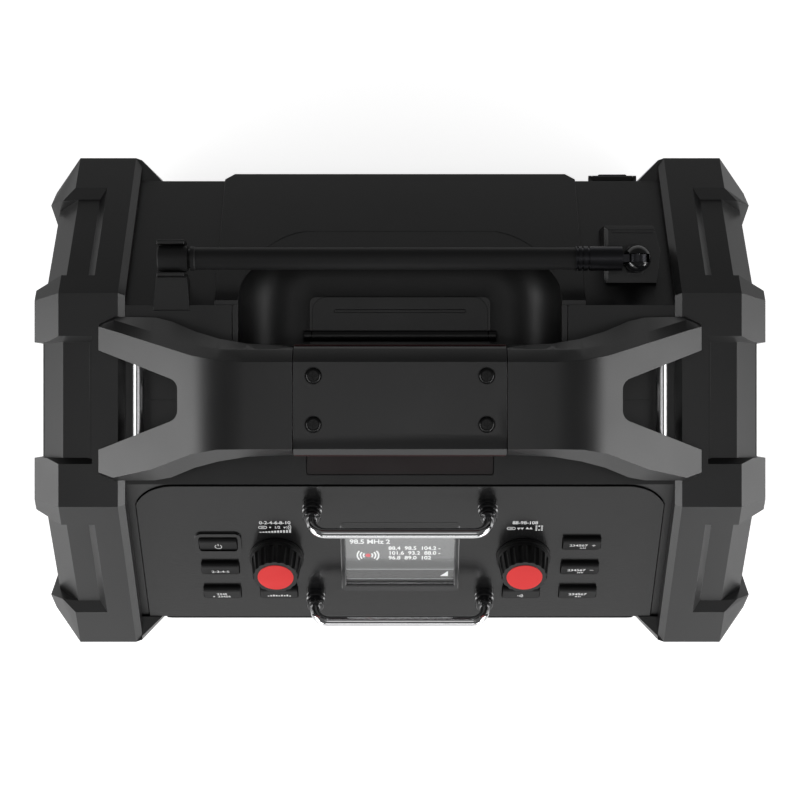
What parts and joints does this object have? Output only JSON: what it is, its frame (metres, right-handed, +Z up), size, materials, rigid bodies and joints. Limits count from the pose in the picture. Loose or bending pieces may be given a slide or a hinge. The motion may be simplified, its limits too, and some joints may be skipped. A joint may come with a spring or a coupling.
{
  "type": "jobsite radio",
  "caption": "Rugged jobsite radio with rubber end bumpers, carrying handle, sloped control panel, rotary knobs, push buttons, guard bars, folding antenna and rear battery door.",
  "frame": {"origin": "middle of the base, on the surface it stands on", "axes": "+X to the user's right, +Y to the rear, +Z up"},
  "size_m": [0.39, 0.2738, 0.2859],
  "materials": {
    "housing_plastic": "fine moulded texture, near black",
    "hood_plastic": "fine moulded texture, near black",
    "bumper_rubber": "satin black rubber",
    "side_panel_plastic": "fine moulded texture",
    "panel_plastic": "soft satin, charcoal",
    "window_tint": "smoked dark red",
    "screen_glass": "clear, flat",
    "screen_module": "grey lit screen",
    "bezel_plastic": "gloss black",
    "circuit_board": "green solder mask",
    "button_plastic": "soft-touch black",
    "knob_plastic": "gloss black, fluted",
    "knob_cap_red": "soft red",
    "control_steel": "turned steel",
    "bar_chrome": "bright chrome plate",
    "fixing_black": "black oxide",
    "handle_plastic": "satin moulded, black",
    "handle_plate_plastic": "satin moulded, black",
    "grip_rubber": "soft dark red",
    "grille_steel": "black powder coat, perforated",
    "speaker_steel": "black pressed steel",
    "magnet_iron": "dark sintered",
    "cone_plastic": "matt cone",
    "tray_plastic": "plain moulded",
    "cell_metal": "plain sleeve, bare",
    "antenna_rubber": "smooth black sleeve",
    "antenna_metal": "gloss black"
  },
  "bodies": {
    "radio_body": {"antenna_base": "housing_plastic", "antenna_clip": "housing_plastic", "antenna_pin": "control_steel", "antenna_swivel": "antenna_metal", "battery_cells": "cell_metal", "battery_door_pin": "control_steel", "battery_tray": "tray_plastic", "bumper_left": "bumper_rubber", "bumper_right": "bumper_rubber", "button_board": "circuit_board", "control_panel": "panel_plastic", "display_bezel": "bezel_plastic", "display_lens": "screen_glass", "display_module": "screen_module", "encoders": "control_steel", "front_housing": "housing_plastic", "guard_bar_fixings": "fixing_black", "guard_bar_lower": "bar_chrome", "guard_bar_upper": "bar_chrome", "handle_core": "control_steel", "handle_grip": "grip_rubber", "handle_left": "handle_plastic", "handle_right": "handle_plastic", "handle_screws": "fixing_black", "handle_top_plate": "handle_plate_plastic", "housing_screws": "control_steel", "main_board": "circuit_board", "port_flap_pin": "control_steel", "port_panel": "tray_plastic", "power_inlet": "tray_plastic", "rear_hood": "hood_plastic", "rear_housing": "housing_plastic", "side_panel_left": "side_panel_plastic", "side_panel_right": "side_panel_plastic", "speaker_cones": "cone_plastic", "speaker_frames": "speaker_steel", "speaker_grille": "grille_steel", "speaker_magnets": "magnet_iron", "status_window": "window_tint", "tie_bars": "bar_chrome"},
    "volume_control": {"volume_shaft": "control_steel", "volume_knob": "knob_plastic", "volume_knob_cap": "knob_cap_red"},
    "tuning_control": {"tuning_shaft": "control_steel", "tuning_knob": "knob_plastic", "tuning_knob_cap": "knob_cap_red"},
    "port_flap": {"port_flap": "hood_plastic"},
    "battery_door": {"battery_door": "hood_plastic"},
    "inlet_cover": {"inlet_cover": "bumper_rubber"},
    "antenna": {"antenna_rod": "antenna_rubber", "antenna_ferrule": "antenna_metal"},
    "equaliser_button": {"equaliser_button": "button_plastic"},
    "menu_button": {"menu_button": "button_plastic"},
    "power_button": {"power_button": "button_plastic"},
    "preset_button": {"preset_button": "button_plastic"},
    "preset_down_button": {"preset_down_button": "button_plastic"},
    "preset_up_button": {"preset_up_button": "button_plastic"},
    "source_button": {"source_button": "button_plastic"},
    "wireless_button": {"wireless_button": "button_plastic"}
  },
  "joints": [
    {"name": "volume_turn", "type": "hinge", "parent": "radio_body", "child": "volume_control", "pos_m": [-0.0677, -0.08602, 0.19333], "axis": [0, -0.6858, 0.7278], "continuous": true},
    {"name": "tuning_turn", "type": "hinge", "parent": "radio_body", "child": "tuning_control", "pos_m": [0.0677, -0.08602, 0.19333], "axis": [0, -0.6858, 0.7278], "continuous": true},
    {"name": "antenna_lift", "type": "hinge", "parent": "radio_body", "child": "antenna", "pos_m": [0.126, 0.075, 0.2325], "axis": [0, 1, 0], "range_deg": [0, 90]},
    {"name": "port_flap_hinge", "type": "hinge", "parent": "radio_body", "child": "port_flap", "pos_m": [0, 0.035, 0.1994], "axis": [1, 0, 0], "range_deg": [0, 100]},
    {"name": "battery_door_hinge", "type": "hinge", "parent": "radio_body", "child": "battery_door", "pos_m": [0, 0.1276, 0.0355], "axis": [-1, 0, 0], "range_deg": [0, 95]},
    {"name": "inlet_cover_hinge", "type": "hinge", "parent": "radio_body", "child": "inlet_cover", "pos_m": [0.1214, 0.1262, 0.146], "axis": [1, 0, 0], "range_deg": [0, 110]},
    {"name": "equaliser_press", "type": "slide", "parent": "radio_body", "child": "equaliser_button", "axis": [0, 0.6858, -0.7278], "range_m": [0, 0.001], "stiffness_N_per_m": 500, "springref_m": -0.0008},
    {"name": "menu_press", "type": "slide", "parent": "radio_body", "child": "menu_button", "axis": [0, 0.6858, -0.7278], "range_m": [0, 0.001], "stiffness_N_per_m": 500, "springref_m": -0.0008},
    {"name": "power_press", "type": "slide", "parent": "radio_body", "child": "power_button", "axis": [0, 0.6858, -0.7278], "range_m": [0, 0.001], "stiffness_N_per_m": 500, "springref_m": -0.0008},
    {"name": "preset_press", "type": "slide", "parent": "radio_body", "child": "preset_button", "axis": [0, 0.6858, -0.7278], "range_m": [0, 0.001], "stiffness_N_per_m": 500, "springref_m": -0.0008},
    {"name": "preset_down_press", "type": "slide", "parent": "radio_body", "child": "preset_down_button", "axis": [0, 0.6858, -0.7278], "range_m": [0, 0.001], "stiffness_N_per_m": 500, "springref_m": -0.0008},
    {"name": "preset_up_press", "type": "slide", "parent": "radio_body", "child": "preset_up_button", "axis": [0, 0.6858, -0.7278], "range_m": [0, 0.001], "stiffness_N_per_m": 500, "springref_m": -0.0008},
    {"name": "source_press", "type": "slide", "parent": "radio_body", "child": "source_button", "axis": [0, 0.6858, -0.7278], "range_m": [0, 0.001], "stiffness_N_per_m": 500, "springref_m": -0.0008},
    {"name": "wireless_press", "type": "slide", "parent": "radio_body", "child": "wireless_button", "axis": [0, 0.6858, -0.7278], "range_m": [0, 0.001], "stiffness_N_per_m": 500, "springref_m": -0.0008}
  ]
}
